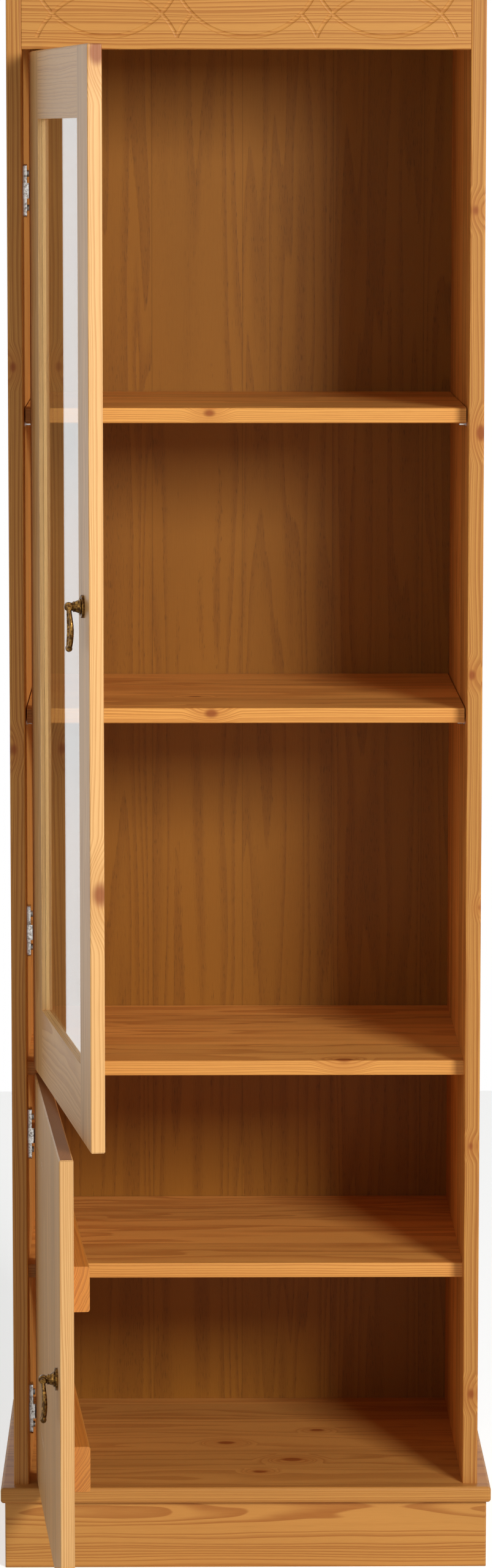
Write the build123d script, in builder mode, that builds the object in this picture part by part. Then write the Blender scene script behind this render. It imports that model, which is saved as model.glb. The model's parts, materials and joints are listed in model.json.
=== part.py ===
from build123d import *
import os
from math import acos, degrees, radians, sin, sqrt

# Tall pine display cabinet with an inset glazed door above and an inset board door below.
# X runs across the front, Y goes from the front to the back and Z goes up.
# The origin is the middle of the underside of the plinth's front board.

# Boards
board = 18.0
plate = 19.0
edge_round = 2.0
plate_corner_round = 3.0
plate_edge_round = 3.8

# Carcase
carcase_width = 557.0
interior_depth = 410.0
plinth_height = 81.0
inner_height = 1789.0
frieze_height = 82.0
plate_front_overhang = 18.0
plate_side_overhang = 15.5
plinth_front_setback = 9.0
plinth_side_setback = 5.0
back_panel_thickness = 5.0
back_rebate = 9.0
back_lip = 1.0
block_size = 28.0

# Shelves: heights of the top faces above the base plate; the fixed one lies just above the doors' meeting
shelf_end_gap = 1.5
shelf_back_gap = 1.0
shelf_door_clearance = 1.0
low_shelf_top = 265.0
fixed_shelf_rise = 10.2
middle_shelf_top = 936.0
high_shelf_top = 1291.0
pin_radius = 2.5
pin_collar_radius = 4.0
pin_collar_length = 1.0
pin_length = 8.0
pin_depth = 10.0
pin_inset = 32.0

# Doors
door_thickness = 16.0
door_recess = 2.0
door_side_gap = 2.0
door_top_gap = 2.0
door_meeting_gap = 6.5
door_meeting_height = 501.8
upper_door_angle = 81.3
lower_door_angle = 85.3
stile_width = 84.0
top_rail_height = 78.0
bottom_rail_height = 84.0
corner_chamfer = 1.4
arris = 1.5

# Glazing
glass_thickness = 4.0
glazing_lip = 4.5
rebate_width = 9.0
glass_gap = 1.0
bead_gap = 0.2
tenon_length = 40.0
tenon_thickness = 5.0
tenon_gap = 0.1
tenon_edge = 12.0

# Battens on the lower door
batten_height = 51.0
batten_thickness = 18.0
batten_inset = 12.0
batten_end_inset = 146.8
batten_round = 3.0
batten_screw_radius = 2.0
batten_screw_head_radius = 4.0
batten_screw_bite = 10.0
batten_screw_shares = (0.12, 0.5, 0.88)

# Concealed hinges: the pivot is inside the cup, which is bored into the inner face
pivot_inset = 14.5
pivot_depth = 7.0
pivot_pin_radius = 1.25
pivot_gap = 0.05
cup_centre_inset = 22.0
cup_radius = 17.5
cup_wall = 0.8
cup_depth = 12.5
cup_fit = 0.1
flange_thickness = 1.5
flange_length = 60.0
flange_width = 20.0
cup_screw_spacing = 46.0
upper_hinge_inset = 161.0
lower_hinge_inset = 79.0
arm_thickness = 3.0
arm_width = 17.0
eye_radius = 2.3
mount_line = 53.0
wing_length = 62.0
wing_width = 16.0
wing_thickness = 4.0
mount_screw_spacing = 40.0
mount_body_length = 36.0
mount_body_width = 18.0
mount_body_height = 8.0
hinge_screw_radius = 2.0
hinge_screw_head_radius = 3.8
hinge_screw_head_height = 2.4
hinge_screw_bite = 12.0

# Drop handles
handle_inset = 46.0
upper_handle_height = 1101.0
lower_handle_height = 243.0
rose_radius = 12.5
rose_thickness = 3.0
post_base_radius = 8.0
post_neck_radius = 5.0
post_length = 13.0
knuckle_radius = 5.0
knuckle_width = 7.0
bail_pin_radius = 1.2
bail_gap = 0.05
bail_side_gap = 0.4
bail_wire_radius = 2.2
bail_length = 48.0
bail_half_width = 10.0
bail_bulb_radius = 3.6
bail_bulb_length = 5.0
bail_shoulder_radius = 3.0
bail_shoulder_length = 8.0
bail_eye_radius = 3.3
bail_eye_length = 4.4
handle_screw_radius = 2.0
handle_screw_head_radius = 4.0
handle_screw_head_height = 2.2

# Carved lines
frieze_arch_count = 3
frieze_arch_spacing = 162.0
frieze_lens_half = 63.0
frieze_lens_rise = 26.5
groove_radius = 3.4
groove_depth = 1.3
door_groove_radius = 2.0
door_groove_depth = 0.8
door_groove_inset = 82.0
door_groove_start = 45.0
door_groove_peak = 110.0
door_groove_end = 395.0
door_groove_rise = 8.0

# Dowels, nails and small clearances
dowel_radius = 4.0
dowel_length = 30.0
dowel_gap = 0.05
dowel_shares = (0.15, 0.5, 0.85)
shelf_dowel_shares = (0.15, 0.8)
nail_radius = 0.8
nail_head_radius = 1.8
nail_length = 14.0
nail_count = 7
nail_gap = 0.05
joint_gap = 0.05
block_screw_radius = 2.0

# Levels and planes worked out from the sizes above
base_top = plinth_height + plate
fixed_shelf_top = door_meeting_height + fixed_shelf_rise
side_top = base_top + inner_height
frieze_bottom = side_top - frieze_height
side_inner = carcase_width / 2 - board
opening_width = 2 * side_inner
side_depth = interior_depth + back_panel_thickness + back_lip
plate_width = carcase_width + 2 * plate_side_overhang
plinth_width = plate_width - 2 * plinth_side_setback
plinth_depth = side_depth - back_lip + plinth_front_setback

door_width = opening_width - 2 * door_side_gap
door_left = -side_inner + door_side_gap
door_inner_face = door_recess + door_thickness
lower_door_bottom = base_top + door_top_gap
lower_door_top = base_top + door_meeting_height - door_meeting_gap / 2
upper_door_bottom = base_top + door_meeting_height + door_meeting_gap / 2
upper_door_top = frieze_bottom - door_top_gap

pivot_x = door_left + pivot_inset
pivot_y = door_recess + pivot_depth
hinge_axis = Axis((pivot_x, pivot_y, 0), (0, 0, 1))
edge_swing = sqrt(pivot_inset**2 + (door_thickness - pivot_depth) ** 2)
shelf_setback = pivot_y + edge_swing + shelf_door_clearance
cup_x = door_left + cup_centre_inset
upper_hinges = (upper_door_bottom + upper_hinge_inset, upper_door_top - upper_hinge_inset)
lower_hinges = (lower_door_bottom + lower_hinge_inset, lower_door_top - lower_hinge_inset)

handle_x = door_left + door_width - handle_inset
knuckle_y = door_recess - rose_thickness - post_length
upper_handle_z = base_top + upper_handle_height
lower_handle_z = base_top + lower_handle_height


def save(piece, name, opening=0.0):
    """Names a piece and writes it, swung open about the hinge axis where it belongs to a door."""
    solid = piece.part.rotate(hinge_axis, -opening)
    solid.label = name
    export_step(solid, f"parts/{name}.step")


def block(x_span, y_span, z_span):
    """Adds a box between two faces along each axis to the part being made."""
    size = [high - low for low, high in (x_span, y_span, z_span)]
    middle = [(high + low) / 2 for low, high in (x_span, y_span, z_span)]
    with Locations(tuple(middle)):
        Box(*size)


def rods(places, radius, length, direction, mode=Mode.ADD):
    """Adds or cuts round rods that start at the given places and run in one direction."""
    for place in places:
        with Locations(Plane(origin=place, z_dir=direction).location):
            Cylinder(radius, length, align=(Align.CENTER, Align.CENTER, Align.MIN), mode=mode)


def carve(path_points, y_face, radius, depth):
    """Cuts a round-bottomed groove into a front face, along an arc through three points."""
    with BuildLine(Plane.XZ.offset(-y_face + radius - depth)) as route:
        ThreePointArc(*path_points)
    with BuildSketch(Plane(origin=route.line @ 0, z_dir=route.line % 0)) as tip:
        Circle(radius)
    sweep(sections=tip.sketch, path=route.line, mode=Mode.SUBTRACT)


os.makedirs("parts", exist_ok=True)

# Dowel places in the joints between the sides and the two plates
dowel_line = carcase_width / 2 - board / 2
dowel_rows = [side_depth * share for share in dowel_shares]
dowel_half = dowel_length / 2
bottom_dowels = [(x, y, base_top - dowel_half) for x in (-dowel_line, dowel_line) for y in dowel_rows]
top_dowels = [(x, y, side_top - dowel_half) for x in (-dowel_line, dowel_line) for y in dowel_rows]
frieze_dowel_z = frieze_bottom + frieze_height / 2
frieze_dowels = [(side * (side_inner - dowel_half), board / 2, frieze_dowel_z) for side in (-1, 1)]
shelf_dowel_z = base_top + fixed_shelf_top - board / 2
low_dowel_z = base_top + low_shelf_top - board / 2
shelf_dowel_rows = [shelf_setback + interior_depth * share for share in shelf_dowel_shares]
shelf_dowels = [
    (side * (side_inner - dowel_half), y, z)
    for side in (-1, 1)
    for y in shelf_dowel_rows
    for z in (shelf_dowel_z, low_dowel_z)
]

pin_rows = [shelf_setback + pin_inset, interior_depth - shelf_back_gap - pin_inset]
pin_heights = [base_top + top - board - pin_radius for top in (middle_shelf_top, high_shelf_top)]
nail_line = side_inner + back_rebate / 2
nail_heights = [base_top + (index + 0.5) * inner_height / nail_count for index in range(nail_count)]
mount_places = [
    (-side_inner, mount_line, z + shift)
    for z in (*upper_hinges, *lower_hinges)
    for shift in (-mount_screw_spacing / 2, mount_screw_spacing / 2)
]


def side_panel(side):
    """Makes one side board with its bores; side is -1 on the left and 1 on the right."""
    outer = side * carcase_width / 2
    inner = side * side_inner
    with BuildPart() as panel:
        block(sorted((outer, inner)), (0, side_depth), (base_top, side_top))
        fillet(panel.edges().filter_by(Axis.Z).group_by(Axis.Y)[0], edge_round)
        rear = side_depth - back_panel_thickness - back_lip
        with Locations((inner, side_depth, (base_top + side_top) / 2)):
            Box(2 * back_rebate, 2 * (side_depth - rear), inner_height, mode=Mode.SUBTRACT)
        bore = dowel_radius + dowel_gap
        dowel_ends = [(side * dowel_line, y, base_top) for y in dowel_rows]
        rods(dowel_ends, bore, dowel_half + dowel_gap, (0, 0, 1), Mode.SUBTRACT)
        dowel_ends = [(side * dowel_line, y, side_top) for y in dowel_rows]
        rods(dowel_ends, bore, dowel_half + dowel_gap, (0, 0, -1), Mode.SUBTRACT)
        cross_ends = [(inner, y, z) for x, y, z in frieze_dowels + shelf_dowels if x * side > 0]
        rods(cross_ends, bore, dowel_half + dowel_gap, (side, 0, 0), Mode.SUBTRACT)
        pins = [(inner, y, z) for y in pin_rows for z in pin_heights]
        rods(pins, pin_radius + dowel_gap, pin_depth + dowel_gap, (side, 0, 0), Mode.SUBTRACT)
        nail_bores = [(side * nail_line, side_depth - back_lip, z) for z in nail_heights]
        rods(nail_bores, nail_radius + nail_gap, nail_length + nail_gap, (0, -1, 0), Mode.SUBTRACT)
        if side < 0:
            rods(mount_places, hinge_screw_radius + dowel_gap, hinge_screw_bite, (side, 0, 0), Mode.SUBTRACT)
    return panel


save(side_panel(-1), "side_panel_left")
save(side_panel(1), "side_panel_right")


def end_plate(bottom, joint_level, joint_direction):
    """Makes the base or top plate, with rounded front and side arrises and dowel bores."""
    with BuildPart() as panel:
        block((-plate_width / 2, plate_width / 2), (-plate_front_overhang, side_depth), (bottom, bottom + plate))
        corners = panel.edges().filter_by(Axis.Z).group_by(Axis.Y)[0]
        fillet(corners, plate_corner_round)
        front_and_ends = [
            edge
            for edge in panel.edges().filter_by(Plane.XY)
            if edge.center().Y < side_depth - plate_corner_round
        ]
        fillet(front_and_ends, plate_edge_round)
        ends = [(x, y, joint_level) for x in (-dowel_line, dowel_line) for y in dowel_rows]
        rods(ends, dowel_radius + dowel_gap, dowel_half + dowel_gap, joint_direction, Mode.SUBTRACT)
    return panel


save(end_plate(plinth_height, base_top, (0, 0, -1)), "base_plate")
save(end_plate(side_top, side_top, (0, 0, 1)), "top_plate")


def shelf_board(top, length, dowelled):
    """Makes one shelf, with bores in its ends where dowels hold it."""
    with BuildPart() as panel:
        depth_span = (shelf_setback, interior_depth - shelf_back_gap)
        block((-length / 2, length / 2), depth_span, (base_top + top - board, base_top + top))
        front = panel.edges().filter_by(Axis.X).group_by(Axis.Y)[0]
        fillet(front, edge_round)
        if dowelled:
            for side in (-1, 1):
                ends = [(side * length / 2, y, base_top + top - board / 2) for y in shelf_dowel_rows]
                rods(ends, dowel_radius + dowel_gap, dowel_half + dowel_gap, (-side, 0, 0), Mode.SUBTRACT)
    return panel


loose_length = opening_width - 2 * shelf_end_gap
fixed_length = opening_width - 2 * joint_gap
save(shelf_board(high_shelf_top, loose_length, False), "shelf_high")
save(shelf_board(middle_shelf_top, loose_length, False), "shelf_middle")
save(shelf_board(fixed_shelf_top, fixed_length, True), "shelf_fixed")
save(shelf_board(low_shelf_top, fixed_length, True), "shelf_low")

with BuildPart() as shelf_pins:
    for side in (-1, 1):
        starts = [(side * (side_inner + pin_depth), y, z) for y in pin_rows for z in pin_heights]
        rods(starts, pin_radius, pin_depth + pin_length, (-side, 0, 0))
        collars = [(side * side_inner, y, z) for y in pin_rows for z in pin_heights]
        rods(collars, pin_collar_radius, pin_collar_length, (-side, 0, 0))
        trims = [(side * side_inner, y, z + 2 * pin_radius) for y in pin_rows for z in pin_heights]
        with Locations(*trims):
            Box(4 * pin_length, 4 * pin_radius, 2 * pin_radius, mode=Mode.SUBTRACT)
save(shelf_pins, "shelf_pins")

with BuildPart() as back_panel:
    reach = side_inner + back_rebate - joint_gap
    back_span = (interior_depth + joint_gap, interior_depth + back_panel_thickness)
    block((-reach, reach), back_span, (base_top + joint_gap, side_top - joint_gap))
    nail_seats = [(x, side_depth - back_lip, z) for x in (-nail_line, nail_line) for z in nail_heights]
    rods(nail_seats, nail_radius + nail_gap, nail_length, (0, -1, 0), Mode.SUBTRACT)
save(back_panel, "back_panel")

with BuildPart() as back_nails:
    rods(nail_seats, nail_head_radius, back_lip / 2, (0, 1, 0))
    rods(nail_seats, nail_radius, nail_length, (0, -1, 0))
save(back_nails, "back_panel_nails")

with BuildPart() as frieze_board:
    half = opening_width / 2 - joint_gap
    block((-half, half), (0, board), (frieze_bottom, side_top - joint_gap))
    lower_front = frieze_board.edges().filter_by(Axis.X).group_by(Axis.Z)[0].sort_by(Axis.Y)[0]
    fillet(lower_front, edge_round)
    for side in (-1, 1):
        ends = [(side * half, board / 2, frieze_dowel_z)]
        rods(ends, dowel_radius + dowel_gap, dowel_half + dowel_gap, (-side, 0, 0), Mode.SUBTRACT)
    # Three lenses side by side: each arch and its mirror image cross where the lens ends
    arch_radius = (frieze_lens_half**2 + frieze_lens_rise**2) / (2 * frieze_lens_rise)
    arch_half = frieze_arch_spacing / 2
    arch_foot = frieze_lens_rise - arch_radius + sqrt(arch_radius**2 - arch_half**2)
    for index in range(frieze_arch_count):
        x = (index - (frieze_arch_count - 1) / 2) * frieze_arch_spacing
        for way in (-1, 1):
            arch = [
                (x - arch_half, frieze_dowel_z + way * arch_foot),
                (x, frieze_dowel_z + way * frieze_lens_rise),
                (x + arch_half, frieze_dowel_z + way * arch_foot),
            ]
            carve(arch, 0, groove_radius, groove_depth)
save(frieze_board, "frieze_board")

# Plinth: the front board covers the ends of the two side boards
plinth_front_face = -plinth_front_setback
plinth_half = plinth_width / 2
plinth_back_face = plinth_depth - plinth_front_setback
plinth_top = plinth_height - joint_gap
with BuildPart() as plinth_front:
    block((-plinth_half, plinth_half), (plinth_front_face, plinth_front_face + board), (0, plinth_top))
    fillet(plinth_front.edges().filter_by(Axis.Z).group_by(Axis.Y)[0], edge_round)
save(plinth_front, "plinth_front")

for side, name in ((-1, "plinth_side_left"), (1, "plinth_side_right")):
    with BuildPart() as plinth_side:
        across = sorted((side * plinth_half, side * (plinth_half - board)))
        along = (plinth_front_face + board + joint_gap, plinth_back_face)
        block(across, along, (0, plinth_top))
    save(plinth_side, name)

with BuildPart() as plinth_back:
    half = plinth_half - board - joint_gap
    block((-half, half), (plinth_back_face - board, plinth_back_face), (0, plinth_top))
save(plinth_back, "plinth_back")

block_x = plinth_half - board - joint_gap - block_size / 2
block_front = plinth_front_face + board + joint_gap + block_size / 2
block_back = plinth_back_face - board - joint_gap - block_size / 2
block_places = [(x, y) for x in (-block_x, block_x) for y in (block_front, block_back)]
with BuildPart() as plinth_blocks:
    for x, y in block_places:
        with Locations((x, y, plinth_top - block_size / 2 - joint_gap)):
            Box(block_size, block_size, block_size)
    bores = [(x, y, plinth_top - block_size - joint_gap) for x, y in block_places]
    rods(bores, block_screw_radius + dowel_gap, block_size, (0, 0, 1), Mode.SUBTRACT)
save(plinth_blocks, "plinth_corner_blocks")

with BuildPart() as block_screws:
    heads = [(x, y, plinth_top - block_size - joint_gap) for x, y in block_places]
    rods(heads, block_screw_radius, block_size + joint_gap, (0, 0, 1))
    rods(heads, 2 * block_screw_radius, block_screw_radius, (0, 0, -1))
save(block_screws, "plinth_block_screws")

with BuildPart() as dowels:
    rods(bottom_dowels + top_dowels, dowel_radius, dowel_length, (0, 0, 1))
    for side in (-1, 1):
        cross = [place for place in frieze_dowels + shelf_dowels if place[0] * side > 0]
        rods(cross, dowel_radius, dowel_length, (side, 0, 0))
save(dowels, "carcase_dowels")


def hinge_arm(height):
    """Makes one hinge arm: a bar along the side board with a crank that curls into the cup."""
    crank_y = door_inner_face + pivot_inset - arm_thickness / 2
    arm_x = -side_inner + mount_body_height + arm_thickness / 2
    reach_x = pivot_x + pivot_inset
    with BuildPart() as arm:
        with BuildSketch(Plane.XY.offset(height - arm_width / 2)):
            with BuildLine():
                FilletPolyline(
                    (arm_x, mount_line + mount_body_length / 2),
                    (arm_x, crank_y),
                    (reach_x, crank_y),
                    (reach_x, pivot_y),
                    (pivot_x, pivot_y),
                    radius=arm_thickness,
                )
            trace(line_width=arm_thickness)
            with Locations((pivot_x, pivot_y)):
                Circle(eye_radius)
                Circle(pivot_pin_radius + pivot_gap, mode=Mode.SUBTRACT)
        extrude(amount=arm_width)
        screw_place = (arm_x + arm_thickness / 2, mount_line, height)
        rods([screw_place], hinge_screw_radius + dowel_gap, 2 * arm_thickness, (-1, 0, 0), Mode.SUBTRACT)
    return arm


def mounting_plate(height):
    """Makes one cross-shaped hinge plate, screwed to the left side board."""
    face = -side_inner
    with BuildPart() as mount:
        with BuildSketch(Plane.YZ.offset(face)):
            with Locations((mount_line, height)):
                RectangleRounded(wing_width, wing_length, wing_width / 4)
        extrude(amount=wing_thickness)
        body_y = (mount_line - mount_body_length / 2, mount_line + mount_body_length / 2)
        body_z = (height - mount_body_width / 2, height + mount_body_width / 2)
        block((face, face + mount_body_height), body_y, body_z)
        fillet(mount.edges().filter_by(Axis.Z).group_by(Axis.X)[-1], arris)
        for shift in (-mount_screw_spacing / 2, mount_screw_spacing / 2):
            place = (face + wing_thickness, mount_line, height + shift)
            rods([place], hinge_screw_radius + dowel_gap, wing_thickness, (-1, 0, 0), Mode.SUBTRACT)
        clamp = (face + mount_body_height, mount_line, height)
        rods([clamp], hinge_screw_radius + dowel_gap, mount_body_height, (-1, 0, 0), Mode.SUBTRACT)
        adjuster = mount_line - mount_body_length / 2
        rods([(face + mount_body_height / 2, adjuster, height)], arris, arm_thickness, (0, 1, 0), Mode.SUBTRACT)
    return mount


def hinge_cup(height):
    """Makes one hinge cup, pressed into the inner face of a door, with its screw flange."""
    flange_plane = Plane.XZ.offset(-door_inner_face)
    with BuildPart() as cup:
        with BuildSketch(Plane.XZ.offset(-door_inner_face - flange_thickness)):
            with Locations((cup_x, height)):
                Circle(cup_radius + flange_thickness)
                SlotOverall(flange_length, flange_width, rotation=90)
        extrude(amount=flange_thickness)
        with BuildSketch(flange_plane):
            with Locations((cup_x, height)):
                Circle(cup_radius)
        extrude(amount=cup_depth)
        with BuildSketch(Plane.XZ.offset(-door_inner_face - flange_thickness)):
            with Locations((cup_x, height)):
                Circle(cup_radius - cup_wall)
        extrude(amount=flange_thickness + cup_depth - cup_wall, mode=Mode.SUBTRACT)
        pin_start = (pivot_x, pivot_y, height - cup_radius)
        rods([pin_start], pivot_pin_radius + pivot_gap, 2 * cup_radius, (0, 0, 1), Mode.SUBTRACT)
        for shift in (-cup_screw_spacing / 2, cup_screw_spacing / 2):
            place = (cup_x, door_inner_face + flange_thickness, height + shift)
            rods([place], hinge_screw_radius + dowel_gap, 2 * flange_thickness, (0, -1, 0), Mode.SUBTRACT)
    return cup


# Half the chord of the cup where the pivot pin crosses it
pin_offset = cup_centre_inset - pivot_inset
pin_half = sqrt((cup_radius - cup_wall / 4) ** 2 - (pin_offset + pivot_pin_radius) ** 2)


def cup_bores(heights):
    """Cuts the cup and screw bores into the door board being made."""
    for height in heights:
        mouth = (cup_x, door_inner_face, height)
        rods([mouth], cup_radius + cup_fit, cup_depth + cup_fit, (0, -1, 0), Mode.SUBTRACT)
        for shift in (-cup_screw_spacing / 2, cup_screw_spacing / 2):
            place = (cup_x, door_inner_face, height + shift)
            rods([place], hinge_screw_radius + dowel_gap, hinge_screw_bite, (0, -1, 0), Mode.SUBTRACT)


def handle_bores(heights):
    """Cuts the bores for the handles' screws through the door board being made."""
    places = [(handle_x, door_inner_face, height) for height in heights]
    rods(places, handle_screw_radius + dowel_gap, door_thickness, (0, -1, 0), Mode.SUBTRACT)


def pan_screws(places, direction, bite):
    """Adds pan-head screws whose heads seat at the given places and point back along direction."""
    back = tuple(-part for part in direction)
    rods(places, hinge_screw_radius, bite, direction)
    rods(places, hinge_screw_head_radius, hinge_screw_head_height, back)


hinge_names = {
    "upper_door_hinge_bottom": (upper_hinges[0], upper_door_angle),
    "upper_door_hinge_top": (upper_hinges[1], upper_door_angle),
    "lower_door_hinge_bottom": (lower_hinges[0], lower_door_angle),
    "lower_door_hinge_top": (lower_hinges[1], lower_door_angle),
}
for name, (height, opening) in hinge_names.items():
    save(mounting_plate(height), f"{name}_plate")
    save(hinge_arm(height), f"{name}_arm")
    save(hinge_cup(height), f"{name}_cup", opening)

with BuildPart() as plate_screws:
    plate_face = -side_inner + wing_thickness
    seats = [(plate_face, y, z) for _, y, z in mount_places]
    pan_screws(seats, (-1, 0, 0), wing_thickness + hinge_screw_bite - joint_gap)
save(plate_screws, "hinge_plate_screws")

with BuildPart() as clamp_screws:
    arm_face = -side_inner + mount_body_height + arm_thickness
    seats = [(arm_face, mount_line, z) for z in (*upper_hinges, *lower_hinges)]
    pan_screws(seats, (-1, 0, 0), arm_thickness + mount_body_height - joint_gap)
save(clamp_screws, "hinge_clamp_screws")


def door_hinge_hardware(prefix, heights, opening):
    """Writes the pivot pins and cup screws of one door."""
    with BuildPart() as pins:
        starts = [(pivot_x, pivot_y, z - pin_half) for z in heights]
        rods(starts, pivot_pin_radius, 2 * pin_half, (0, 0, 1))
    save(pins, f"{prefix}_hinge_pins", opening)
    with BuildPart() as screws:
        seats = [
            (cup_x, door_inner_face + flange_thickness, z + shift)
            for z in heights
            for shift in (-cup_screw_spacing / 2, cup_screw_spacing / 2)
        ]
        pan_screws(seats, (0, -1, 0), flange_thickness + hinge_screw_bite - joint_gap)
    save(screws, f"{prefix}_cup_screws", opening)


door_hinge_hardware("upper_door", upper_hinges, upper_door_angle)
door_hinge_hardware("lower_door", lower_hinges, lower_door_angle)

# Upper door: two stiles, two tenoned rails, a glass pane and the beads that hold it
door_right = door_left + door_width
sight_left = door_left + stile_width
sight_right = door_right - stile_width
sight_bottom = upper_door_bottom + bottom_rail_height
sight_top = upper_door_top - top_rail_height
glass_front = door_recess + glazing_lip
glass_back = glass_front + glass_thickness
tenon_y = door_recess + glazing_lip / 2
tenon_span = (tenon_y, tenon_y + tenon_thickness)
rail_levels = ((upper_door_bottom, sight_bottom), (sight_top, upper_door_top))


def glazing_rebate():
    """Cuts the rebate for the glass and its beads from the inner face."""
    across = (sight_left - rebate_width, sight_right + rebate_width)
    upright = (sight_bottom - rebate_width, sight_top + rebate_width)
    middle = ((across[0] + across[1]) / 2, (glass_front + door_inner_face) / 2, (upright[0] + upright[1]) / 2)
    with Locations(middle):
        Box(across[1] - across[0], door_inner_face - glass_front, upright[1] - upright[0], mode=Mode.SUBTRACT)


def stile(left, right, inner, direction, hinge_heights=(), handle_heights=()):
    """Makes one stile with its rebate, the mortises for the rails' tenons and its fittings' bores."""
    with BuildPart() as upright:
        block((left, right), (door_recess, door_inner_face), (upper_door_bottom, upper_door_top))
        outer_edges = upright.edges().filter_by(Axis.Z)
        outer_edges = outer_edges.group_by(Axis.X)[0 if direction < 0 else -1]
        fillet(outer_edges, arris)
        ends = upright.edges().filter_by(Axis.X).group_by(Axis.Z)
        chamfer(ends[0] + ends[-1], corner_chamfer)
        glazing_rebate()
        for low, high in rail_levels:
            mortise = sorted((inner, inner + direction * (tenon_length + tenon_gap)))
            depth = (tenon_span[0] - tenon_gap, tenon_span[1] + tenon_gap)
            upright_span = (low + tenon_edge - tenon_gap, high - tenon_edge + tenon_gap)
            size = [b - a for a, b in (mortise, depth, upright_span)]
            middle = tuple((a + b) / 2 for a, b in (mortise, depth, upright_span))
            with Locations(middle):
                Box(*size, mode=Mode.SUBTRACT)
        cup_bores(hinge_heights)
        handle_bores(handle_heights)
    return upright


hinge_stile = stile(door_left, sight_left, sight_left, -1, hinge_heights=upper_hinges)
save(hinge_stile, "upper_door_hinge_stile", upper_door_angle)
free_stile = stile(sight_right, door_right, sight_right, 1, handle_heights=[upper_handle_z])
save(free_stile, "upper_door_free_stile", upper_door_angle)

for (low, high), name in zip(rail_levels, ("upper_door_bottom_rail", "upper_door_top_rail")):
    with BuildPart() as rail:
        block((sight_left + joint_gap, sight_right - joint_gap), (door_recess, door_inner_face), (low, high))
        outer_level = 0 if low == upper_door_bottom else -1
        chamfer(rail.edges().filter_by(Axis.X).group_by(Axis.Z)[outer_level], corner_chamfer)
        glazing_rebate()
        tenon_x = (sight_left - tenon_length, sight_right + tenon_length)
        block(tenon_x, tenon_span, (low + tenon_edge, high - tenon_edge))
    save(rail, name, upper_door_angle)

with BuildPart() as glass_pane:
    spare = rebate_width - glass_gap
    across = (sight_left - spare, sight_right + spare)
    upright = (sight_bottom - spare, sight_top + spare)
    block(across, (glass_front, glass_back), upright)
save(glass_pane, "upper_door_glass", upper_door_angle)

bead_y = (glass_back + joint_gap, door_inner_face)
bead_reach = rebate_width - bead_gap
bead_low = sight_bottom - bead_reach
bead_high = sight_top + bead_reach
bead_left = sight_left - bead_reach
bead_right = sight_right + bead_reach
beads = {
    "glazing_bead_left": ((bead_left, sight_left), (sight_bottom + joint_gap, sight_top - joint_gap)),
    "glazing_bead_right": ((sight_right, bead_right), (sight_bottom + joint_gap, sight_top - joint_gap)),
    "glazing_bead_bottom": ((bead_left, bead_right), (bead_low, sight_bottom)),
    "glazing_bead_top": ((bead_left, bead_right), (sight_top, bead_high)),
}
for name, (across, upright) in beads.items():
    with BuildPart() as bead:
        block(across, bead_y, upright)
        inner_arris = bead.edges().filter_by(Plane.XZ).group_by(Axis.Y)[-1]
        fillet(inner_arris, arris / 2)
    save(bead, name, upper_door_angle)

# Lower door: one board with two battens screwed across its inner face
batten_levels = (lower_door_bottom + batten_end_inset, lower_door_top - batten_end_inset)
batten_span = (door_left + batten_inset, door_right - batten_inset)
batten_rows = [batten_span[0] + (batten_span[1] - batten_span[0]) * share for share in batten_screw_shares]
batten_screw_places = [(x, door_inner_face + batten_thickness, z) for x in batten_rows for z in batten_levels]
with BuildPart() as lower_board:
    block((door_left, door_right), (door_recess, door_inner_face), (lower_door_bottom, lower_door_top))
    fillet(lower_board.edges().filter_by(Axis.Z), arris)
    ends = lower_board.edges().filter_by(Axis.X).group_by(Axis.Z)
    chamfer(ends[0] + ends[-1], corner_chamfer)
    cup_bores(lower_hinges)
    handle_bores([lower_handle_z])
    bite_starts = [(x, door_inner_face, z) for x, _, z in batten_screw_places]
    rods(bite_starts, batten_screw_radius + dowel_gap, batten_screw_bite, (0, -1, 0), Mode.SUBTRACT)
    for level in (lower_door_top - door_groove_inset, lower_door_bottom + door_groove_inset):
        start_x = door_left + door_groove_start
        peak_x = door_left + door_groove_peak
        turn_x = 2 * peak_x - start_x
        end_x = door_left + door_groove_end
        rise = door_groove_rise
        hump = [(start_x, level), (peak_x, level + rise / 2), (turn_x, level)]
        carve(hump, door_recess, door_groove_radius, door_groove_depth)
        trough = [(turn_x, level), ((turn_x + end_x) / 2, level - rise / 2), (end_x, level - rise / 2)]
        carve(trough, door_recess, door_groove_radius, door_groove_depth)
save(lower_board, "lower_door_board", lower_door_angle)

for level, name in zip(batten_levels, ("lower_door_batten_bottom", "lower_door_batten_top")):
    with BuildPart() as batten:
        depth_span = (door_inner_face, door_inner_face + batten_thickness)
        block(batten_span, depth_span, (level - batten_height / 2, level + batten_height / 2))
        fillet(batten.edges().filter_by(Axis.X).group_by(Axis.Y)[-1], batten_round)
        places = [place for place in batten_screw_places if place[2] == level]
        rods(places, batten_screw_radius + dowel_gap, batten_thickness, (0, -1, 0), Mode.SUBTRACT)
    save(batten, name, lower_door_angle)

with BuildPart() as batten_screws:
    bite = batten_thickness + batten_screw_bite - joint_gap
    rods(batten_screw_places, batten_screw_radius, bite, (0, -1, 0))
    rods(batten_screw_places, batten_screw_head_radius, batten_screw_radius / 2, (0, 1, 0))
save(batten_screws, "lower_door_batten_screws", lower_door_angle)


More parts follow.
